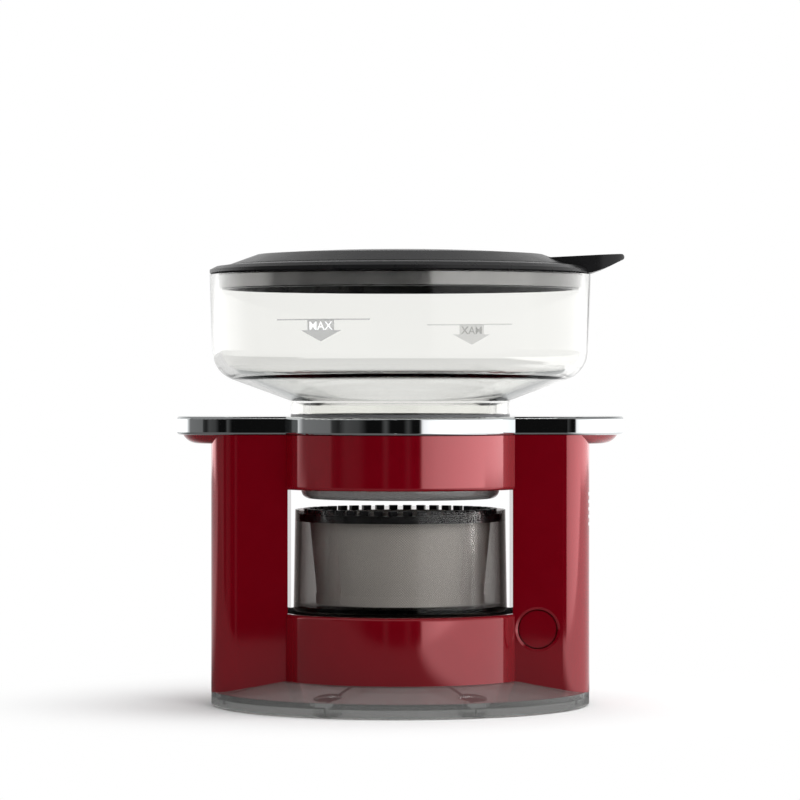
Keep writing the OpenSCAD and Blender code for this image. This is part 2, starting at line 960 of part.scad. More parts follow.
board_screw_r = 1.1;
board_screw_head_r = 2.1;
board_screw_head_h = 1.4;
switch_half = 3;
switch_h = 3.4;
switch_back = 0.6;
plunger_r = 1.7;
plunger_front = board_front - switch_h - button_travel - sliding_fit;
plunger_back = board_front - switch_back - button_travel - sliding_fit;
button_proud = 0.3;
button_skin = 1.8;
button_side = 1.6;
button_stem_r = 2.2;
button_flange_w = 1.6;
button_flange_t = 1.2;
button_face = front_face + dish_depth - button_proud;
button_flange_r = button_r + button_flange_w;

module circuit_board() {
    color([0.05, 0.32, 0.15])
        difference() {
            box([board_x0, board_front, board_z0], [board_x1, board_front + board_t, board_z1]);
            for (p = board_boss)
                bar_y(board_screw_r + running_fit, p[0], board_front - past, board_front + board_t + past, p[1]);
        }
}

module board_screws() {
    color([0.7, 0.7, 0.72])
        for (p = board_boss) {
            bar_y(board_screw_r, p[0], board_front - board_screw_l, board_front + board_t, p[1]);
            bar_y(board_screw_head_r, p[0], board_front + board_t, board_front + board_t + board_screw_head_h, p[1]);
        }
}

module switch_body() {
    color([0.12, 0.12, 0.13])
        difference() {
            box(
                [button_x - switch_half, board_front - switch_h, button_z - switch_half],
                [button_x + switch_half, board_front, button_z + switch_half]
            );
            bar_y(
                plunger_r + running_fit, button_x,
                board_front - switch_h - past, board_front - switch_back, button_z
            );
        }
}

module switch_plunger() {
    color([0.75, 0.72, 0.62])
        bar_y(plunger_r, button_x, plunger_front, plunger_back, button_z);
}

module button_cap() {
    flange_y = front_inside + sliding_fit;
    color([0.52, 0.02, 0.07])
        difference() {
            union() {
                bar_y(button_r, button_x, button_face, flange_y + button_flange_t, button_z);
                intersection() {
                    bar_y(button_flange_r, button_x, flange_y, flange_y + button_flange_t, button_z);
                    box(
                        [column_in_x + sliding_fit, flange_y - past, button_z - 2 * button_r],
                        [button_x + 2 * button_r, flange_y + button_flange_t + past, button_z + 2 * button_r]
                    );
                }
                bar_y(button_stem_r, button_x, button_face + button_skin / 2, plunger_front, button_z);
            }
            difference() {
                bar_y(button_r - button_side, button_x, button_face + button_skin, plunger_front, button_z);
                bar_y(button_stem_r, button_x, button_face, plunger_front + past, button_z);
            }
        }
}

// Water tank with its gasket and nozzle

neck_out = 2.7;
neck_r = trim_bore_r + neck_out;
neck_wall = 2.3;
gasket_t = 0.8;
sump_wall = 2.6;
sump_z = gear_z + spray_web_h + weld;
shoulder_r = tank_r - tank_flare;
shoulder_c = shoulder_r - tank_shoulder;
slope_run = shoulder_c + tank_shoulder * sin(tank_slope) - neck_r;
shoulder_z = trim_top + neck_h + slope_run * tan(tank_slope) + tank_shoulder * cos(tank_slope);
nozzle_l = 12;
nozzle_bore_r = 2;
nozzle_flange_w = 1.6;
nozzle_flange_t = 0.8;
nozzle_taper_l = 3;
nozzle_tip_wall = 0.8;

// Section of the bowl from the axis outwards; inset steps inside the wall
module bowl_section(inset, foot_r_at) {
    arc_r = tank_shoulder - inset;
    touch = [shoulder_c + arc_r * sin(tank_slope), shoulder_z - arc_r * cos(tank_slope)];
    foot_z = touch[1] - (touch[0] - foot_r_at) * tan(tank_slope);
    polygon([
        [0, foot_z],
        [foot_r_at, foot_z],
        touch,
        [shoulder_c + arc_r * cos(tank_slope / 2 - 45), shoulder_z + arc_r * sin(tank_slope / 2 - 45)],
        [shoulder_r - inset, shoulder_z],
        [tank_r - inset, tank_top + past * (inset > 0 ? 1 : 0)],
        [0, tank_top + past * (inset > 0 ? 1 : 0)]
    ]);
    translate([shoulder_c, shoulder_z])
        circle(r = arc_r);
}

module tank() {
    color([0.93, 0.95, 0.96, 0.35])
        rotate_extrude()
            difference() {
                union() {
                    bowl_section(0, sump_r);
                    translate([0, sump_z])
                        square([sump_r, shoulder_z - sump_z]);
                    difference() {
                        translate([neck_r - neck_wall, trim_top + gasket_t])
                            square([neck_wall, shoulder_z - trim_top - gasket_t]);
                        bowl_section(0, sump_r);
                        translate([0, shoulder_z])
                            square([tank_r, tank_h]);
                    }
                }
                bowl_section(tank_wall, sump_r - sump_wall);
                translate([0, sump_z + sump_wall])
                    square([sump_r - sump_wall, shoulder_z - sump_z]);
                translate([0, sump_z - past])
                    square([nozzle_r + running_fit, sump_wall + 2 * past]);
                translate([-2 * tank_r, 0])
                    square([2 * tank_r, 2 * tank_top]);
            }
}

module tank_gasket() {
    color([0.75, 0.76, 0.78])
        tube(neck_r, neck_r - neck_wall, trim_top, trim_top + gasket_t);
}

module outlet_nozzle() {
    color([0.82, 0.83, 0.85])
        translate([0, 0, sump_z])
            rotate_extrude()
                polygon([
                    [nozzle_bore_r, sump_wall + nozzle_flange_t],
                    [nozzle_r + nozzle_flange_w, sump_wall + nozzle_flange_t],
                    [nozzle_r + nozzle_flange_w, sump_wall],
                    [nozzle_r, sump_wall],
                    [nozzle_r, sump_wall - nozzle_l + nozzle_taper_l],
                    [nozzle_bore_r + nozzle_tip_wall, sump_wall - nozzle_l],
                    [nozzle_bore_r, sump_wall - nozzle_l]
                ]);
}

// Lid with its seal and thumb tab

lid_z = tank_top + loose_fit;
lid_r = tank_r - running_fit;
lid_edge = 1.2;
ledge_rise = 0.8;
plug_r = tank_r - tank_wall - plug_gap;
plug_wall = 2.2;
seal_end = 0.4;
seal_z = lid_z - plug_h + seal_end;
seal_h = plug_h - 2 * seal_end;
seal_bite = 0.6;
ledge_r = lid_r - lid_ledge;
crown_r = ledge_r - lid_slope;
tab_t = 2.2;
tab_root = 0.4;
tab_lift = 1.4;
tab_bow = 0.35;
tab_steps = 8;

// Section of the lid's top side; inset steps inside the wall
module lid_section(inset) {
    dome_r = (pow(crown_r, 2) + pow(lid_dome, 2)) / (2 * lid_dome);
    crown_z = lid_rim_top + lid_rise - inset;
    polygon([
        [0, lid_z - past * (inset > 0 ? 1 : 0)],
        [ledge_r - inset / 3, lid_z - past * (inset > 0 ? 1 : 0)],
        [ledge_r - inset / 3, lid_rim_top + ledge_rise - inset],
        [crown_r, crown_z],
        [0, crown_z]
    ]);
    intersection() {
        translate([0, crown_z + lid_dome - dome_r])
            circle(r = dome_r, $fn = 720);
        translate([0, crown_z - eps])
            square([crown_r, lid_dome + eps]);
    }
}

module lid_rim_section() {
    polygon([
        [ledge_r - past, lid_z],
        [lid_r - lid_edge / 2, lid_z],
        [lid_r, lid_z + lid_edge / 2],
        [lid_r, lid_rim_top - lid_edge],
        [lid_r - 2 * lid_edge, lid_rim_top],
        [ledge_r - past, lid_rim_top + ledge_rise]
    ]);
}

// Side view of the thumb tab, whose underside sweeps up to the tip
module tab_section() {
    tip_c = [lid_r + tab_reach - tab_t / 2, lid_rim_top + lid_rise - tab_t / 2];
    root = [lid_r - tab_root, lid_z + tab_root];
    rise = tip_c - [0, tab_t / 2] - root;
    polygon(concat(
        [[crown_r, root[1]]],
        [
            for (i = [0 : tab_steps])
                let (t = i / tab_steps)
                root + [rise[0] * t, rise[1] * t * (1 - tab_bow + tab_bow * t)]
        ],
        [tip_c + [0, tab_t / 2], [crown_r, tip_c[1] + tab_t / 2 - tab_lift]]
    ));
    translate(tip_c)
        circle(r = tab_t / 2);
}

module thumb_tab() {
    round_r = tab_w / 3;
    intersection() {
        translate([0, tab_w, 0])
            rotate([90, 0, 0])
                linear_extrude(2 * tab_w)
                    tab_section();
        linear_extrude(2 * tank_top)
            translate([lid_r + tab_reach + tab_t / 2 - 2 * tab_w, 0])
                round_rect(2 * tab_w, tab_w / 2, round_r);
    }
}

module lid() {
    color([0.07, 0.07, 0.075])
        difference() {
            union() {
                rotate_extrude()
                    difference() {
                        union() {
                            lid_section(0);
                            lid_rim_section();
                            translate([plug_r - plug_wall, lid_z - plug_h])
                                square([plug_wall, plug_h + eps]);
                        }
                        translate([-2 * tank_r, 0])
                            square([2 * tank_r, 2 * tank_top]);
                    }
                thumb_tab();
            }
            rotate_extrude()
                difference() {
                    union() {
                        lid_section(lid_wall);
                        translate([plug_r - seal_bite, seal_z])
                            square([tank_r, seal_h]);
                    }
                    translate([-2 * tank_r, 0])
                        square([2 * tank_r, 2 * tank_top]);
                }
        }
}

module lid_seal() {
    seal_r = tank_r - tank_wall - sliding_fit - tank_flare * plug_h / tank_h;
    color([0.3, 0.31, 0.33])
        tube(seal_r, plug_r - seal_bite, seal_z, seal_z + seal_h);
}

// Filter: smoked cup, black rim, steel mesh and its base

cup_top_r = filter_cup_r - filter_cup_taper;
mesh_top_r = cup_top_r - filter_cup_wall - mesh_setback;
mesh_bottom_r = mesh_top_r - mesh_taper;
cup_floor = 2;
cup_outlet_r = 13;
cup_foot_edge = 0.8;
cup_lip_wall = 1.1;
cup_lip_drop = 0.4;
rim_flange = 2.8;
crown_wall = 1.8;
basket_rise = 0.8;
basket_floor_z = filter_z + cup_floor + basket_rise;
base_ring_h = 3.4;
base_ring_wall = 1.8;
base_ring_r = mesh_bottom_r + weld;

module filter_cup() {
    color([0.22, 0.21, 0.2, 0.75])
        rotate_extrude()
            polygon([
                [cup_outlet_r, filter_z],
                [filter_cup_r - cup_foot_edge, filter_z],
                [filter_cup_r, filter_z + cup_foot_edge],
                [cup_top_r, rim_z + filter_rim_h - cup_lip_drop],
                [cup_top_r - cup_lip_wall, rim_z + filter_rim_h - cup_lip_drop],
                [cup_top_r - cup_lip_wall, rim_z],
                [cup_top_r - filter_cup_wall, rim_z],
                [filter_cup_r - filter_cup_wall, filter_z + cup_floor],
                [cup_outlet_r, filter_z + cup_floor]
            ]);
}

module filter_rim() {
    crown_out = mesh_top_r + crown_wall;
    color([0.05, 0.05, 0.055])
        difference() {
            rotate_extrude() {
                translate([mesh_top_r, rim_z])
                    square([cup_top_r - cup_lip_wall - loose_fit - mesh_top_r, rim_flange]);
                translate([mesh_top_r, rim_z])
                    square([crown_wall, filter_rim_h]);
            }
            for (i = [0 : rim_notches - 1])
                rotate([0, 0, 360 * (i + 0.5) / rim_notches])
                    translate([mesh_top_r - past, -notch_w / 2, rim_z + filter_rim_h - notch_h])
                        cube([crown_out - mesh_top_r + past + eps, notch_w, notch_h + past]);
        }
}

module filter_mesh() {
    color([0.62, 0.6, 0.57])
        rotate_extrude()
            polygon([
                [mesh_bottom_r - mesh_t, basket_floor_z + base_ring_h],
                [mesh_bottom_r, basket_floor_z + base_ring_h],
                [mesh_top_r - loose_fit, rim_z + rim_flange],
                [mesh_top_r - loose_fit - mesh_t, rim_z + rim_flange]
            ]);
}

module filter_base() {
    color([0.3, 0.29, 0.28])
        rotate_extrude() {
            translate([0, basket_floor_z])
                square([base_ring_r, mesh_t]);
            translate([base_ring_r - base_ring_wall, basket_floor_z])
                square([base_ring_wall, base_ring_h]);
        }
}

base_tray();
foot_pads();
base_screws();
drip_deck();
front_housing();
rear_housing();
top_trim();
bearing_sleeve();
spray_head();
drive_gear();
drive_shaft();
gear_motor();
motor_bracket();
bracket_screws();
battery_cell();
battery_holder();
circuit_board();
board_screws();
switch_body();
switch_plunger();
button_cap();
charge_board();
charge_socket();
tank();
tank_gasket();
outlet_nozzle();
lid();
lid_seal();
filter_cup();
filter_rim();
filter_mesh();
filter_base();
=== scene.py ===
# Looks of a portable one-cup coffee maker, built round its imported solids.
# Metres, +Z up, the front faces -Y. Sizes are written in millimetres and scaled by MM.
import math

import bmesh
import bpy
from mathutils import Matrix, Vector


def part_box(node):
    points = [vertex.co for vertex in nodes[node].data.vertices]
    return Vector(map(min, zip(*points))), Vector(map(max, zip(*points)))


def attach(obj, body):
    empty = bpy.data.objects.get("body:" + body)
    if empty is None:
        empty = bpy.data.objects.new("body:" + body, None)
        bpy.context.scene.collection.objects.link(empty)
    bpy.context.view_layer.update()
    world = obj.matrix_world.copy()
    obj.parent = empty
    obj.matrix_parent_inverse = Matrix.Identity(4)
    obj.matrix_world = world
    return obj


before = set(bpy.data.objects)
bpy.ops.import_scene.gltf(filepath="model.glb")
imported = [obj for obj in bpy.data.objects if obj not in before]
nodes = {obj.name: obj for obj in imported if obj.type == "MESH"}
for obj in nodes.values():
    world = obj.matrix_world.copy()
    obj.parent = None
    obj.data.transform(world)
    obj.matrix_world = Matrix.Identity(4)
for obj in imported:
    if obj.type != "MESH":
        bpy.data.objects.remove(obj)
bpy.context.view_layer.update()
scene = bpy.context.scene
scene.view_settings.view_transform = "Standard"
MM = 0.001


# Studio: a white table, a room whose side behind the camera is dark, and three soft
# lamps. What the chrome and the gloss show in front is that room.

def linear(hex_colour):
    """An sRGB hex colour as linear red, green, blue and alpha."""
    parts = [int(hex_colour[i:i + 2], 16) / 255 for i in (0, 2, 4)]
    return tuple(c / 12.92 if c <= 0.04045 else ((c + 0.055) / 1.055) ** 2.4 for c in parts) + (1.0,)


def add(tree, kind, sockets, **settings):
    """One node with its settings; a socket takes a value or another node's output."""
    made = tree.nodes.new(kind)
    for name, value in settings.items():
        setattr(made, name, value)
    for name, value in sockets.items():
        if isinstance(value, bpy.types.NodeSocket):
            tree.links.new(value, made.inputs[name])
        else:
            made.inputs[name].default_value = value
    return made


def in_scene(name, data):
    """A mesh, a lamp, a camera or a text as an object of the scene."""
    made = bpy.data.objects.new(name, data)
    scene.collection.objects.link(made)
    return made


world = bpy.data.worlds.new("studio_room")
scene.world = world
world.use_nodes = True
room = world.node_tree
room.nodes.clear()
look = add(room, "ShaderNodeTexCoord", {})
axes = add(room, "ShaderNodeSeparateXYZ", {0: look.outputs["Generated"]})
front = add(room, "ShaderNodeMath", {0: axes.outputs["Y"], 1: -1.0}, operation="MULTIPLY")
bearing = add(room, "ShaderNodeMath", {0: axes.outputs["X"], 1: front.outputs[0]}, operation="ARCTAN2")
turn = add(
    room, "ShaderNodeMath", {0: bearing.outputs[0], 1: 1 / (2 * math.pi), 2: 0.5}, operation="MULTIPLY_ADD",
)
# Brightness of the walls by bearing in degrees: 0 is behind the camera, + is to the right.
WALLS = (
    (-180, 1.1), (-158, 1.4), (-144, 3.2), (-118, 3.2), (-104, 0.8), (-98, 0.24), (-66, 0.2), (-64, 0.05),
    (-57, 0.02), (-50, 0.09), (-38, 0.07), (-30, 0.006), (-17, 0.006), (-13, 0.1), (-9, 0.006), (3, 0.006),
    (7, 0.07), (11, 0.006), (18, 0.006), (20, 1.4), (34, 1.9), (60, 2.4), (100, 3.2), (142, 3.2),
    (158, 1.4), (180, 1.1),
)
# The softboxes at the sides stand low: over the level of the camera the walls are plain.
UPPER_WALLS = 0.9
CEILING = 0.35
BRIGHTEST = 3.5
PLAIN_LIGHT = 0.5


def grey(brightness):
    """A brightness of the room as a colour, as a share of the brightest."""
    return (brightness / BRIGHTEST,) * 3 + (1.0,)


walls = add(room, "ShaderNodeValToRGB", {"Fac": turn.outputs[0]})
stops = walls.color_ramp.elements
for degrees, brightness in WALLS[1:-1]:
    stops.new(degrees / 360 + 0.5).color = grey(brightness)
stops[0].color = grey(WALLS[0][1])
stops[len(stops) - 1].color = grey(WALLS[-1][1])

# Edges between parts of the room, by the rise or the depth of a line of sight one unit long.
UPPER_EDGE = (0.002, 0.012)
CEILING_EDGE = (0.25, 0.6)
STEEP_EDGE = (0.06, 0.15)
REAR_EDGE = (-0.1, 0.1)
above = add(
    room, "ShaderNodeMapRange",
    {"Value": axes.outputs["Z"], "From Min": UPPER_EDGE[0], "From Max": UPPER_EDGE[1]},
)
upper = add(
    room, "ShaderNodeMix",
    {"Factor": above.outputs["Result"], 6: walls.outputs["Color"], 7: grey(UPPER_WALLS)},
    data_type="RGBA", blend_type="DARKEN",
)
overhead = add(
    room, "ShaderNodeMapRange",
    {"Value": axes.outputs["Z"], "From Min": CEILING_EDGE[0], "From Max": CEILING_EDGE[1]},
)
shell = add(
    room, "ShaderNodeMix",
    {"Factor": overhead.outputs["Result"], 6: upper.outputs[2], 7: grey(CEILING)},
    data_type="RGBA",
)
shiny = add(room, "ShaderNodeBackground", {"Color": shell.outputs[2], "Strength": BRIGHTEST})
plain = add(room, "ShaderNodeBackground", {"Color": linear("FFFFFF"), "Strength": PLAIN_LIGHT})
white = add(room, "ShaderNodeBackground", {"Color": linear("FFFFFF"), "Strength": 1.0})
ray = add(room, "ShaderNodeLightPath", {})
# Through a clear piece the room is seen as it is mirrored, but only in front and near the
# level of the camera. Elsewhere it is white.
mirrored = add(
    room, "ShaderNodeMath",
    {0: ray.outputs["Is Glossy Ray"], 1: ray.outputs["Is Transmission Ray"]}, operation="MAXIMUM",
)
lit = add(room, "ShaderNodeMixShader", {0: mirrored.outputs[0], 1: plain.outputs[0], 2: shiny.outputs[0]})
behind = add(
    room, "ShaderNodeMapRange",
    {"Value": axes.outputs["Y"], "From Min": REAR_EDGE[0], "From Max": REAR_EDGE[1]},
)
rise = add(room, "ShaderNodeMath", {0: axes.outputs["Z"]}, operation="ABSOLUTE")
steep = add(
    room, "ShaderNodeMapRange",
    {"Value": rise.outputs[0], "From Min": STEEP_EDGE[0], "From Max": STEEP_EDGE[1]},
)
elsewhere = add(
    room, "ShaderNodeMath", {0: behind.outputs["Result"], 1: steep.outputs["Result"]}, operation="MAXIMUM",
)
clear = add(
    room, "ShaderNodeMath",
    {0: elsewhere.outputs[0], 1: ray.outputs["Is Transmission Ray"]}, operation="MULTIPLY",
)
through = add(
    room, "ShaderNodeMath", {0: ray.outputs["Is Camera Ray"], 1: clear.outputs[0]}, operation="MAXIMUM",
)
seen = add(room, "ShaderNodeMixShader", {0: through.outputs[0], 1: lit.outputs[0], 2: white.outputs[0]})
add(room, "ShaderNodeOutputWorld", {"Surface": seen.outputs[0]})

TABLE_FRONT = -0.38
TABLE_FAR = 3.0
table_bm = bmesh.new()
bmesh.ops.create_grid(table_bm, x_segments=1, y_segments=1, size=1.0)
bmesh.ops.scale(table_bm, vec=(TABLE_FAR, (TABLE_FAR - TABLE_FRONT) / 2, 1), verts=table_bm.verts)
bmesh.ops.translate(table_bm, vec=(0, (TABLE_FAR + TABLE_FRONT) / 2, 0), verts=table_bm.verts)
table_mesh = bpy.data.meshes.new("table")
table_bm.to_mesh(table_mesh)
table_bm.free()
table = in_scene("table", table_mesh)

# White paper, not coated: it keeps the object's shadow and goes over into the white behind.
SHADOW_R = (0.07, 0.17)
paper = bpy.data.materials.new("white_paper_sweep")
paper.use_nodes = True
tree = paper.node_tree
tree.nodes.clear()
place = add(tree, "ShaderNodeTexCoord", {})
ray = add(tree, "ShaderNodeLightPath", {})
reach = add(tree, "ShaderNodeVectorMath", {0: place.outputs["Object"]}, operation="LENGTH")
away = add(
    tree, "ShaderNodeMapRange",
    {"Value": reach.outputs["Value"], "From Min": SHADOW_R[0], "From Max": SHADOW_R[1]},
    interpolation_type="SMOOTHSTEP",
)
matt = add(tree, "ShaderNodeBsdfDiffuse", {"Color": linear("FAFAFA")})
glow = add(tree, "ShaderNodeEmission", {"Color": linear("FFFFFF"), "Strength": 1.0})
fade = add(
    tree, "ShaderNodeMath",
    {0: away.outputs["Result"], 1: ray.outputs["Is Camera Ray"]}, operation="MULTIPLY",
)
sweep = add(tree, "ShaderNodeMixShader", {0: fade.outputs[0], 1: matt.outputs[0], 2: glow.outputs[0]})
# Seen through a clear piece the paper is white, with the dark of the shadow under the base.
UNDER_BASE_R = (0.066, 0.1)
UNDER_BASE = 0.05
OUTSIDE_BASE = 0.9
outside = add(
    tree, "ShaderNodeMapRange",
    {"Value": reach.outputs["Value"], "From Min": UNDER_BASE_R[0], "From Max": UNDER_BASE_R[1],
     "To Min": UNDER_BASE, "To Max": OUTSIDE_BASE},
)
through = add(
    tree, "ShaderNodeEmission", {"Color": linear("FFFFFF"), "Strength": outside.outputs["Result"]},
)
# Mirrored it is dim in front, and bright behind and towards the softbox on the right.
RIGHT_X = (0.08, 0.13)
REAR_Y = (0.02, 0.3)
DIM_FRONT = 0.16
BRIGHT_RIGHT = 1.2
BRIGHT_REAR = 0.8
spots = add(tree, "ShaderNodeSeparateXYZ", {0: place.outputs["Object"]})
towards = add(
    tree, "ShaderNodeMapRange",
    {"Value": spots.outputs["X"], "From Min": RIGHT_X[0], "From Max": RIGHT_X[1],
     "To Min": DIM_FRONT, "To Max": BRIGHT_RIGHT},
)
rear = add(
    tree, "ShaderNodeMapRange",
    {"Value": spots.outputs["Y"], "From Min": REAR_Y[0], "From Max": REAR_Y[1], "To Max": BRIGHT_REAR},
)
level = add(
    tree, "ShaderNodeMath", {0: towards.outputs["Result"], 1: rear.outputs["Result"]}, operation="MAXIMUM",
)
mirrored = add(tree, "ShaderNodeEmission", {"Color": linear("FFFFFF"), "Strength": level.outputs[0]})
paper_or_clear = add(
    tree, "ShaderNodeMixShader",
    {0: ray.outputs["Is Transmission Ray"], 1: sweep.outputs[0], 2: through.outputs[0]},
)
table_top = add(
    tree, "ShaderNodeMixShader",
    {0: ray.outputs["Is Glossy Ray"], 1: paper_or_clear.outputs[0], 2: mirrored.outputs[0]},
)
# From below it can be looked through.
facing = add(tree, "ShaderNodeNewGeometry", {})
nothing = add(tree, "ShaderNodeBsdfTransparent", {"Color": linear("FFFFFF")})
one_sided = add(
    tree, "ShaderNodeMixShader",
    {0: facing.outputs["Backfacing"], 1: table_top.outputs[0], 2: nothing.outputs[0]},
)
add(tree, "ShaderNodeOutputMaterial", {"Surface": one_sided.outputs[0]})
table_mesh.materials.append(paper)

BODY_MIDDLE = Vector((0, 0, 0.08))


def soft_lamp(name, at, size, watts):
    """A softbox that lights the object and isn't mirrored in it."""
    data = bpy.data.lights.new(name, "AREA")
    data.shape = "RECTANGLE"
    data.size, data.size_y = size
    data.energy = watts
    lamp = in_scene(name, data)
    lamp.location = at
    lamp.rotation_euler = (BODY_MIDDLE - Vector(at)).to_track_quat("-Z", "Y").to_euler()
    lamp.visible_glossy = False
    lamp.visible_transmission = False
    return lamp


soft_lamp("right_lamp", at=(1.0, 0.05, 0.7), size=(0.7, 0.9), watts=7.0)
front_lamp = soft_lamp("front_lamp", at=(0.6, -1.2, 0.6), size=(0.9, 0.45), watts=6.0)
# It also reaches what stands in the filter's clear cup, from over the tank's line of sight.
front_lamp.visible_transmission = True
soft_lamp("top_lamp", at=(0.1, 0.1, 1.2), size=(1.0, 0.8), watts=5.0)

# The camera's place and its long lens were fitted to the curves of the photo's round edges.
LENS_MM = 170.7
SENSOR_MM = 36.0
CAMERA_AT = Vector((-0.0001, -1.375, 0.1176))
CAMERA_AIM = Vector((-0.0001, 0.0, 0.1100625))
camera_data = bpy.data.cameras.new("photo_camera")
camera_data.lens = LENS_MM
camera_data.sensor_width = SENSOR_MM
camera = in_scene("photo_camera", camera_data)
camera.location = CAMERA_AT
camera.rotation_euler = (CAMERA_AIM - CAMERA_AT).to_track_quat("-Z", "Y").to_euler()
scene.camera = camera


# Base tray: one clear moulding with a polished rim, ribs and foot cups underneath.
# The body is screwed to it from below.

def finish_of(name, hex_colour, sockets):
    """A Principled finish; returns it with its node tree, shader and place on the piece."""
    made = bpy.data.materials.new(name)
    made.use_nodes = True
    tree = made.node_tree
    shader = tree.nodes["Principled BSDF"]
    shader.inputs["Base Color"].default_value = linear(hex_colour)
    for socket, value in sockets.items():
        shader.inputs[socket].default_value = value
    place = add(tree, "ShaderNodeTexCoord", {}).outputs["Object"]
    return made, tree, shader, place


# Nearly all of a noise lies between these two values.
NOISE_LOW = 0.3
NOISE_HIGH = 0.7


def grain(tree, shader, place, grain_mm, roughness, depth_mm):
    """Uneven gloss and a fine surface wave of one grain size, as a mould leaves them."""
    wave = add(tree, "ShaderNodeTexNoise", {"Vector": place, "Scale": 1 / (grain_mm * MM), "Detail": 3.0})
    gloss = add(
        tree, "ShaderNodeMapRange",
        {"Value": wave.outputs["Fac"], "From Min": NOISE_LOW, "From Max": NOISE_HIGH,
         "To Min": roughness[0], "To Max": roughness[1]},
    )
    bump = add(
        tree, "ShaderNodeBump",
        {"Height": wave.outputs["Fac"], "Distance": depth_mm * MM, "Strength": 1.0},
    )
    tree.links.new(gloss.outputs["Result"], shader.inputs["Roughness"])
    tree.links.new(bump.outputs["Normal"], shader.inputs["Normal"])
    return wave


def dress(names, finish):
    """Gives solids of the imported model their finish."""
    for name in names:
        slots = nodes[name].data.materials
        slots.clear()
        slots.append(finish)


def body_tint(tree, hex_colour, left_per_mm):
    """A tint all through a clear plastic: the share of light left after a millimetre of it."""
    absorb = add(
        tree, "ShaderNodeVolumeAbsorption",
        {"Color": linear(hex_colour), "Density": -math.log(left_per_mm) / MM},
    )
    tree.links.new(absorb.outputs["Volume"], tree.nodes["Material Output"].inputs["Volume"])


# SAN, moulded in a polished tool: clear, with a slight grey cast in the thick of it.
base_san, tree, shader, place = finish_of(
    "clear_base_san", "E6E7E5", {"Transmission Weight": 0.9, "IOR": 1.57},
)
grain(tree, shader, place, 14.0, (0.02, 0.05), 0.01)
body_tint(tree, "000000", 0.99)
dress(["base_tray"], base_san)


# Feet and base screws: four soft pads pressed into the tray's cups, and four
# zinc-plated screws that hold the tray to the body.

# Nitrile rubber, moulded matt: dark grey with a dusty bloom.
nitrile, tree, shader, place = finish_of("nitrile_rubber", "2A2A2B", {"Specular IOR Level": 0.3})
grain(tree, shader, place, 0.8, (0.7, 0.9), 0.04)
dress(["foot_pads"], nitrile)

# Zinc-plated steel: pale grey, a little uneven from the plating bath.
zinc, tree, shader, place = finish_of("zinc_plated_steel", "B9BBBF", {"Metallic": 1.0})
grain(tree, shader, place, 1.5, (0.25, 0.42), 0.01)
dress(["base_screws", "bracket_screws", "board_screws", "motor_bracket", "drive_shaft"], zinc)


# Drip deck: the matt black floor of the window, moulded with a funnel and a spout under
# it, which lead the coffee down through the tray.

# Glass-filled polypropylene, spark-eroded tool: black with a fine matt grain, which keeps
# it dark even along a low line of sight.
matt_black, tree, shader, place = finish_of("matt_black_pp", "0D0D0E", {"Specular IOR Level": 0.03})
grain(tree, shader, place, 0.7, (0.7, 0.85), 0.03)
dress(["drip_deck", "battery_holder", "switch_body"], matt_black)


# Red body: two ABS shells that clip together on the middle plane, lacquered in one
# colour, with two hollow columns, a band over and under the window, and the ears.

# Lacquered ABS: deep red with fine metal flake in it, under a hard gloss with a trace of
# orange peel. The flake makes the highlights pink and strong.
red_lacquer, tree, shader, place = finish_of("red_lacquered_abs", "8B0016", {"IOR": 2.0, "Metallic": 0.4})
wave = grain(tree, shader, place, 9.0, (0.05, 0.075), 0.003)
tint = add(
    tree, "ShaderNodeMix",
    {"Factor": wave.outputs["Fac"], 6: linear("870014"), 7: linear("8F0118")}, data_type="RGBA",
)
tree.links.new(tint.outputs[2], shader.inputs["Base Color"])
dress(["front_housing", "rear_housing", "button_cap"], red_lacquer)


# Power: a rechargeable cell in its holder in the left column, and a charging socket on
# a small board at the back of the right column.

# PVC shrink sleeve: blue, thin and slightly wavy over the can.
blue_sleeve, tree, shader, place = finish_of("pvc_sleeve", "2C6FB0", {})
grain(tree, shader, place, 4.0, (0.3, 0.42), 0.02)
dress(["battery_cell"], blue_sleeve)

# Epoxy board under green solder mask: even, with copper showing as faint patches.
solder_mask, tree, shader, place = finish_of("solder_mask", "0E5B2A", {})
wave = grain(tree, shader, place, 2.0, (0.3, 0.45), 0.02)
copper = add(
    tree, "ShaderNodeMix",
    {"Factor": wave.outputs["Fac"], 6: linear("0A4A21"), 7: linear("187A3C")}, data_type="RGBA",
)
tree.links.new(copper.outputs[2], shader.inputs["Base Color"])
dress(["circuit_board", "charge_board"], solder_mask)

# Nickel-plated sheet: the socket's shell and the motor's can.
nickel, tree, shader, place = finish_of("nickel_plate", "C6C4BE", {"Metallic": 1.0})
grain(tree, shader, place, 2.5, (0.18, 0.32), 0.008)
dress(["charge_socket", "gear_motor"], nickel)


# Drive and bearing: a white gear on the motor's shaft turns the spray head, which runs
# in a plain sleeve inside the upper band.

# Natural acetal: milky white, waxy, slightly see-through at its edges.
acetal, tree, shader, place = finish_of("natural_acetal", "E6E3DA", {"Subsurface Weight": 0.1})
grain(tree, shader, place, 1.2, (0.34, 0.46), 0.01)
dress(["bearing_sleeve", "drive_gear", "switch_plunger", "outlet_nozzle"], acetal)


# Spray head: a clear moulded cup with drip holes in its floor, which hangs into the window
# from its bearing and turns there.

# SAN again, slightly greyed by the drops and marks inside.
spray_san, tree, shader, place = finish_of(
    "spray_head_san", "D2D2D0", {"Transmission Weight": 0.7, "IOR": 1.49},
)
grain(tree, shader, place, 3.0, (0.08, 0.18), 0.02)
dress(["spray_head"], spray_san)


# Chrome plate: a moulded cover over the drive, plated bright. It closes the top of the
# body, and the tank stands on it.

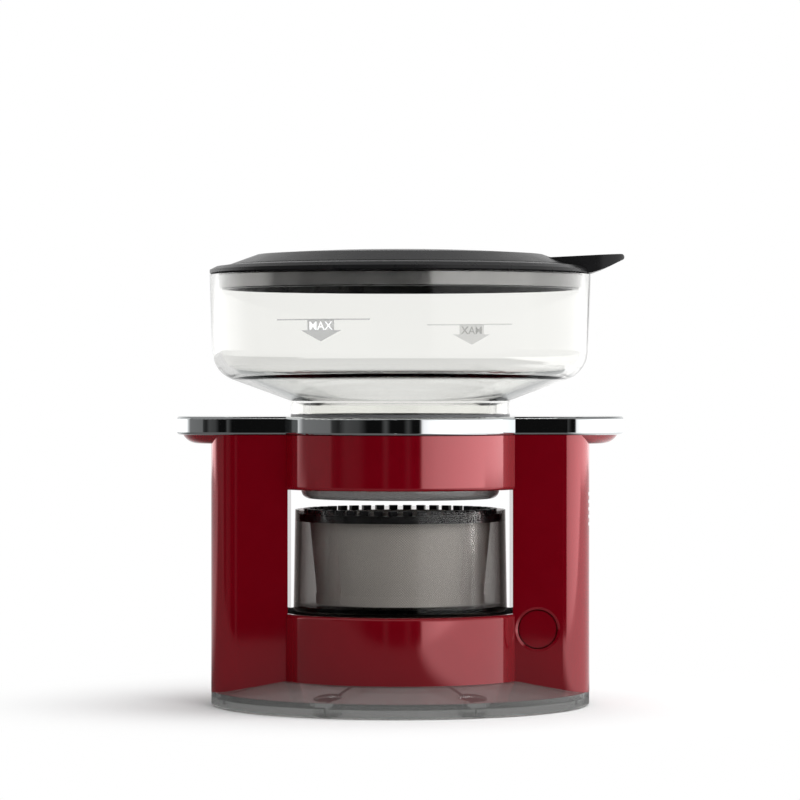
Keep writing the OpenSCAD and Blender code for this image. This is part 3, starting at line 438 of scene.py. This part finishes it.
# Chromium over ABS: a clean mirror with a trace of ripple from the moulding.
chrome, tree, shader, place = finish_of("chrome_plate", "CDD0D1", {"Metallic": 1.0})
grain(tree, shader, place, 18.0, (0.03, 0.06), 0.008)
dress(["top_trim"], chrome)


# Tank: a clear bowl with a sloping floor and a neck, which lifts off the body. A fill
# mark is printed on its wall at two opposite places.

# SAN from a polished tool: water clear, and bending light little, as its thin walls do.
tank_san, tree, shader, place = finish_of(
    "clear_tank_san", "FAFAF8", {"Transmission Weight": 1.0, "IOR": 1.2},
)
grain(tree, shader, place, 16.0, (0.01, 0.03), 0.008)
body_tint(tree, "000000", 0.995)
dress(["tank"], tank_san)

# Silicone rubber: grey, soft and matt.
silicone, tree, shader, place = finish_of("grey_silicone", "77787B", {})
grain(tree, shader, place, 1.5, (0.3, 0.42), 0.01)
dress(["tank_gasket"], silicone)

# Silicone again, moulded with a polished skin: pressed to the clear wall it mirrors the room.
polished_silicone, tree, shader, place = finish_of("polished_silicone", "9B9A9A", {"Metallic": 0.75})
grain(tree, shader, place, 12.0, (0.1, 0.16), 0.01)
dress(["lid_seal"], polished_silicone)

# Screen-printing ink: thin and matt, grey for the mark in front, paler for the one at the back and
# white for the letters on both. The paler ink at the back is painted light: a lighter copy of the grey
# that stands in for light coming through the thin ink seen from inside. The white ink has a faint
# painted glow, light that no lamp gives it.
grey_ink, tree, shader, place = finish_of("grey_print_ink", "C4C5C5", {"Alpha": 0.45})
grain(tree, shader, place, 0.5, (0.5, 0.65), 0.005)
# Painted light: the back mark's ink is the grey one made paler, for light through the thin ink seen from
# inside.
backlit_pale_ink, tree, shader, place = finish_of("backlit_pale_print_ink", "C4C5C5", {"Alpha": 0.16})
grain(tree, shader, place, 0.5, (0.5, 0.65), 0.005)
# Painted glow: the white ink's emission makes the letters give light that no lamp gives them.
glowing_white_ink, tree, shader, place = finish_of(
    "white_print_ink_painted_glow", "FFFFFF",
    {"Alpha": 0.9, "Emission Color": linear("FFFFFF"), "Emission Strength": 0.3},
)
grain(tree, shader, place, 0.5, (0.5, 0.65), 0.005)

INK = 0.06 * MM
MARK_Z = 138.3 * MM
MARK_BEARING = math.radians(-23.8)
LINE_L = 36.0 * MM
LINE_W = 0.45 * MM
SHAFT_W = 10.2 * MM
SHAFT_H = 3.7 * MM
HEAD_W = 15.6 * MM
HEAD_H = 3.9 * MM
LETTER_H = 3.0 * MM
LETTER_RISE = 0.1 * MM
LETTER_BOLD = 0.012
CAPITAL_SHARE = 0.72
WELD = 0.001 * MM
# The wall opens upwards, to its widest at the brim.
FLARE_OUT = 0.95 * MM
FLARE_UP = 27.46 * MM
WALL_FLARE = FLARE_OUT / FLARE_UP
tank_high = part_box("tank")[1]
WALL_R = tank_high[0] - (tank_high[2] - MARK_Z) * WALL_FLARE


def print_on_tank(name, flat, bearing, lift, finish):
    """Wraps a flat drawing (x across, y up, in metres) round the tank's wall as a print."""
    made = bmesh.new()
    made.from_mesh(flat)
    for vert in made.verts:
        angle = bearing + vert.co.x / WALL_R
        radius = WALL_R + lift + vert.co.z + vert.co.y * WALL_FLARE
        vert.co = (radius * math.sin(angle), -radius * math.cos(angle), MARK_Z + vert.co.y)
    bmesh.ops.recalc_face_normals(made, faces=made.faces)
    mesh = bpy.data.meshes.new(name)
    made.to_mesh(mesh)
    made.free()
    mesh.materials.append(finish)
    piece = in_scene(name, mesh)
    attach(piece, "tank")


# An arrow that hangs from a level line: the line, the shaft and the head.
arrow_bm = bmesh.new()
bmesh.ops.create_grid(arrow_bm, x_segments=30, y_segments=1, size=0.5)
bmesh.ops.scale(arrow_bm, vec=(LINE_L, LINE_W, 1), verts=arrow_bm.verts)
line_verts = set(arrow_bm.verts)
bmesh.ops.create_grid(arrow_bm, x_segments=10, y_segments=2, size=0.5)
shaft_verts = [v for v in arrow_bm.verts if v not in line_verts]
bmesh.ops.scale(arrow_bm, vec=(SHAFT_W, SHAFT_H, 1), verts=shaft_verts)
bmesh.ops.translate(arrow_bm, vec=(0, -SHAFT_H / 2, 0), verts=shaft_verts)
drawn = set(arrow_bm.verts)
bmesh.ops.create_grid(arrow_bm, x_segments=16, y_segments=1, size=0.5)
head_verts = [v for v in arrow_bm.verts if v not in drawn]
bmesh.ops.scale(arrow_bm, vec=(HEAD_W, HEAD_H, 1), verts=head_verts)
for vert in head_verts:
    if vert.co.y < 0:
        vert.co.y = HEAD_H * (abs(vert.co.x) / (HEAD_W / 2) - 0.5)
bmesh.ops.translate(arrow_bm, vec=(0, -SHAFT_H - HEAD_H / 2, 0), verts=head_verts)
bmesh.ops.remove_doubles(arrow_bm, verts=arrow_bm.verts, dist=WELD)
bmesh.ops.solidify(arrow_bm, geom=arrow_bm.faces[:], thickness=INK)
arrow = bpy.data.meshes.new("fill_arrow")
arrow_bm.to_mesh(arrow)
arrow_bm.free()

# The word on the shaft. A letter's size is that of its line, of which a capital fills a share.
letters = bpy.data.curves.new("fill_letters", "FONT")
letters.body = "MAX"
letters.size = LETTER_H / CAPITAL_SHARE
letters.align_x = "CENTER"
letters.offset = LETTER_BOLD * LETTER_H
letters.extrude = INK / 2
letters.resolution_u = 2
letters_object = in_scene("fill_letters", letters)
letters_mesh = bpy.data.meshes.new_from_object(letters_object)
bpy.data.objects.remove(letters_object)
for vert in letters_mesh.vertices:
    vert.co.y += LETTER_RISE - SHAFT_H

# The back marks take the paler ink, painted lighter; the words take the white ink with its painted glow.
MARKS = (("front", MARK_BEARING, grey_ink), ("back", MARK_BEARING + math.pi, backlit_pale_ink))
for side, bearing_of_mark, ink in MARKS:
    print_on_tank(f"{side}_fill_mark", arrow, bearing_of_mark, INK, ink)
    print_on_tank(f"{side}_fill_word", letters_mesh, bearing_of_mark, 2 * INK, glowing_white_ink)


# Lid: one black moulding with a raised middle and a thumb tab, which closes the tank.
# The seal round its plug holds it there.

# Black ABS from a fine-blasted tool: near-black, satin, with a trace of unevenness.
gloss_black, tree, shader, place = finish_of(
    "gloss_black_abs", "1B1B1C", {"IOR": 1.4, "Specular IOR Level": 0.3},
)
grain(tree, shader, place, 6.0, (0.26, 0.3), 0.002)
dress(["lid", "filter_rim"], gloss_black)


# Filter: a smoked cup, a notched black rim and a steel mesh basket with its floor. It
# stands on the drip deck and draws out to the front.

# Smoked SAN: grey-brown all through, so that it darkens where one looks along a wall. Part
# of the light goes straight through, as through a thin wall, and so reaches the mesh.
smoked, tree, shader, place = finish_of(
    "smoked_san", "F2F0EE", {"Transmission Weight": 1.0, "IOR": 1.4, "Alpha": 0.4},
)
grain(tree, shader, place, 10.0, (0.02, 0.05), 0.008)
body_tint(tree, "5A4A3C", 0.88)
dress(["filter_cup"], smoked)

# Woven stainless wire: fine upright and level wires that scatter the light. The real
# weave is too fine to show, so it is drawn with threads 0.9 mm apart.
THREAD = 0.9 * MM
THREAD_DEPTH = 0.08 * MM
MESH_R = 31.7 * MM
mesh_steel, tree, shader, place = finish_of(
    "woven_stainless", "C9C5BF", {"Metallic": 0.2, "Roughness": 0.42},
)
around = add(tree, "ShaderNodeSeparateXYZ", {0: place})
angle = add(tree, "ShaderNodeMath", {0: around.outputs["X"], 1: around.outputs["Y"]}, operation="ARCTAN2")
upright = add(
    tree, "ShaderNodeMath",
    {0: angle.outputs[0], 1: 2 * math.pi * MESH_R / THREAD}, operation="MULTIPLY",
)
level = add(
    tree, "ShaderNodeMath",
    {0: around.outputs["Z"], 1: 2 * math.pi / THREAD}, operation="MULTIPLY",
)
warp = add(tree, "ShaderNodeMath", {0: upright.outputs[0]}, operation="SINE")
weft = add(tree, "ShaderNodeMath", {0: level.outputs[0]}, operation="SINE")
woven = add(tree, "ShaderNodeMath", {0: warp.outputs[0], 1: weft.outputs[0]}, operation="MULTIPLY")
shade = add(
    tree, "ShaderNodeMapRange", {"Value": woven.outputs[0], "From Min": -1.0, "From Max": 1.0},
)
thread = add(
    tree, "ShaderNodeMix",
    {"Factor": shade.outputs["Result"], 6: linear("A8A39C"), 7: linear("ECE9E4")}, data_type="RGBA",
)
raised = add(
    tree, "ShaderNodeBump",
    {"Height": woven.outputs[0], "Distance": THREAD_DEPTH, "Strength": 0.6},
)
tree.links.new(thread.outputs[2], shader.inputs["Base Color"])
tree.links.new(raised.outputs["Normal"], shader.inputs["Normal"])
dress(["filter_mesh", "filter_base"], mesh_steel)
